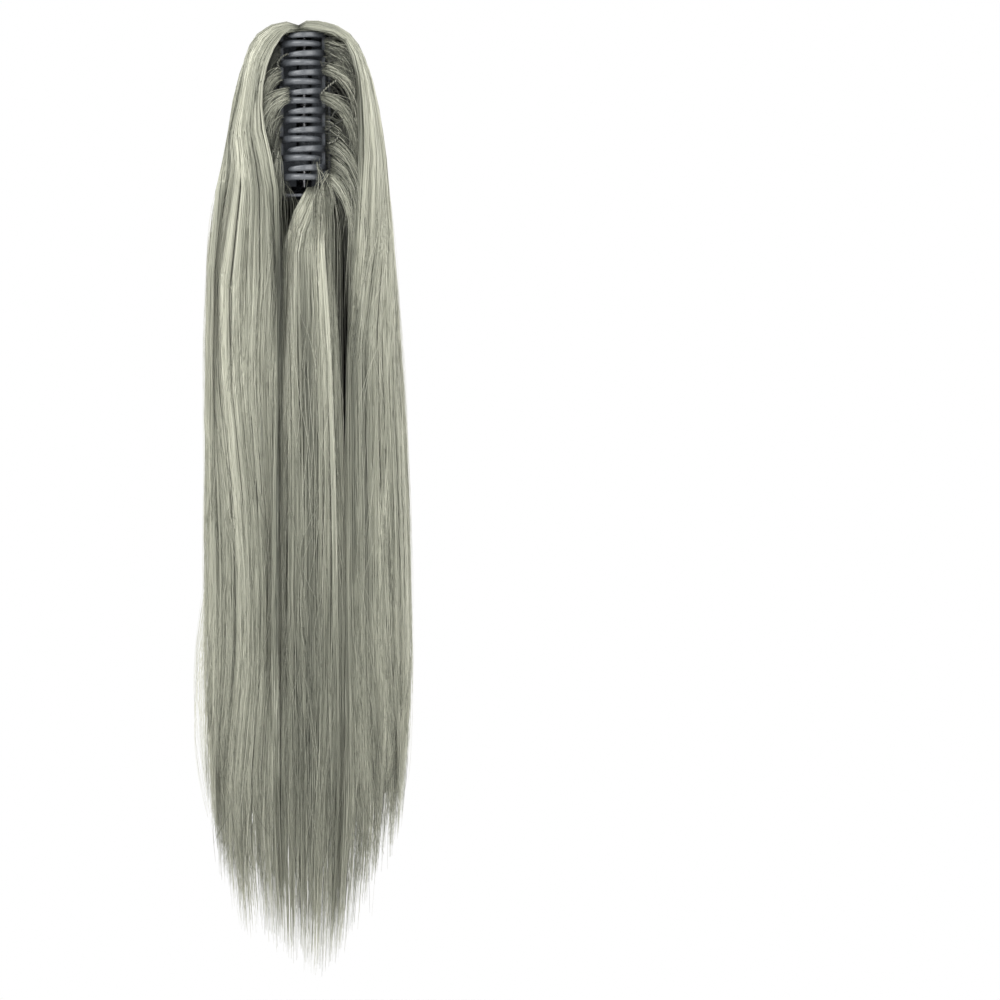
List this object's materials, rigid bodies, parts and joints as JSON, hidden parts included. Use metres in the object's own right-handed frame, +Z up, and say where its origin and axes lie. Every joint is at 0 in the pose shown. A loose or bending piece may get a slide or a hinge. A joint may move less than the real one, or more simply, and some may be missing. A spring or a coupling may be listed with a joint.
{
  "type": "ponytail hairpiece",
  "caption": "Long straight ponytail hairpiece on a toothed claw clip, with a black net, a gathered crown, side curtains and a centre tuft in grey-green hair.",
  "frame": {"origin": "middle of the claw clip's bite, where the wearer's gathered hair is held", "axes": "+Z up along the hanging hair, +X to the right when looking at the toothed side, +Y away from the wearer's head"},
  "size_m": [0.1274, 0.0769, 0.5983],
  "materials": {
    "hair": "straight synthetic hair in ash grey-green with paler streaks",
    "clip_plastic": "black moulded plastic with a clear gloss",
    "net_cloth": "black net and sewn band",
    "steel": "plain drawn wire"
  },
  "bodies": {
    "root": {"hinge_pin": "steel", "closing_spring": "steel", "weft_net": "net_cloth", "crown": "hair", "outer_fall": "hair", "left_curtain": "hair", "right_curtain": "hair", "centre_tuft": "hair"},
    "left_jaw": {"jaw_left": "clip_plastic", "weft_left": "net_cloth"},
    "right_jaw": {"jaw_right": "clip_plastic", "weft_right": "net_cloth"}
  },
  "joints": [
    {"name": "right_jaw_hinge", "type": "hinge", "parent": "root", "child": "right_jaw", "pos_m": [0, 0.018, 0], "axis": [0, 0, 1], "range_deg": [0, 30], "stiffness_Nm_per_rad": 0.2, "springref_deg": -17.19, "deforming": ["closing_spring"]},
    {"name": "left_jaw_hinge", "type": "hinge", "parent": "root", "child": "left_jaw", "pos_m": [0, 0.018, 0], "axis": [0, 0, 1], "range_deg": [-30, 0], "stiffness_Nm_per_rad": 0.2, "springref_deg": 17.19, "deforming": ["closing_spring"]}
  ],
  "couplings": [
    {"joint": "left_jaw_hinge", "follows": "right_jaw_hinge", "ratio": -1}
  ]
}
